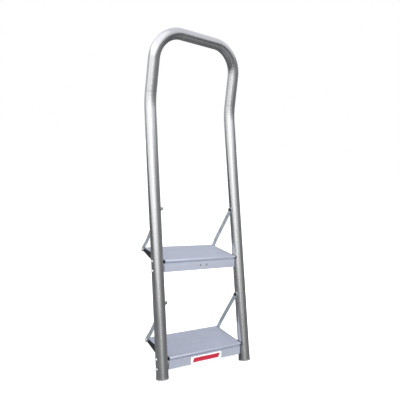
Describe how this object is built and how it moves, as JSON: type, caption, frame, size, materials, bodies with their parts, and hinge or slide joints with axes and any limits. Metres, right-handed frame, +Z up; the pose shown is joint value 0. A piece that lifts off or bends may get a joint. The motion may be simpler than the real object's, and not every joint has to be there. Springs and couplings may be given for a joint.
{
  "type": "pool ladder",
  "caption": "Leaning step ladder with level treads bolted between the legs of one bent tube that rises as a tall hoop handrail; flat bars brace the treads.",
  "frame": {"origin": "centre of the bottom of the ladder's own box, level with the lowest edge of the foot plugs", "axes": "+X to the climber's right, +Y the way the climber faces, +Z up with the treads level"},
  "size_m": [0.3966, 0.3629, 1.1237],
  "materials": {
    "satin_tube": "satin polished stainless tube",
    "anodised_tread": "satin anodised extrusion, lightly ribbed",
    "black_plate": "black moulded nylon",
    "zinc_brace": "bright zinc plated flat bar",
    "zinc_fastener": "zinc plated steel",
    "stainless_fastener": "bright stainless",
    "grey_plug": "dark grey moulded plastic",
    "label_film": "white label film with a plain red band"
  },
  "bodies": {
    "root": {"hoop_rail": "satin_tube", "left_foot_plug": "grey_plug", "right_foot_plug": "grey_plug", "upper_tread_hole_plugs": "grey_plug", "label": "label_film", "lower_tread": "anodised_tread", "lower_left_end_plate": "black_plate", "lower_left_rail_bolts": "stainless_fastener", "lower_left_brace": "zinc_brace", "lower_left_brace_screw": "stainless_fastener", "lower_left_brace_washer": "zinc_fastener", "lower_left_brace_bolt": "zinc_fastener", "lower_left_rivet_nut": "zinc_fastener", "lower_right_end_plate": "black_plate", "lower_right_rail_bolts": "stainless_fastener", "lower_right_brace": "zinc_brace", "lower_right_brace_screw": "stainless_fastener", "lower_right_brace_washer": "zinc_fastener", "lower_right_brace_bolt": "zinc_fastener", "lower_right_rivet_nut": "zinc_fastener", "upper_tread": "anodised_tread", "upper_left_end_plate": "black_plate", "upper_left_rail_bolts": "stainless_fastener", "upper_left_brace": "zinc_brace", "upper_left_brace_screw": "stainless_fastener", "upper_left_brace_washer": "zinc_fastener", "upper_left_brace_bolt": "zinc_fastener", "upper_left_rivet_nut": "zinc_fastener", "upper_right_end_plate": "black_plate", "upper_right_rail_bolts": "stainless_fastener", "upper_right_brace": "zinc_brace", "upper_right_brace_screw": "stainless_fastener", "upper_right_brace_washer": "zinc_fastener", "upper_right_brace_bolt": "zinc_fastener", "upper_right_rivet_nut": "zinc_fastener"}
  },
  "joints": []
}
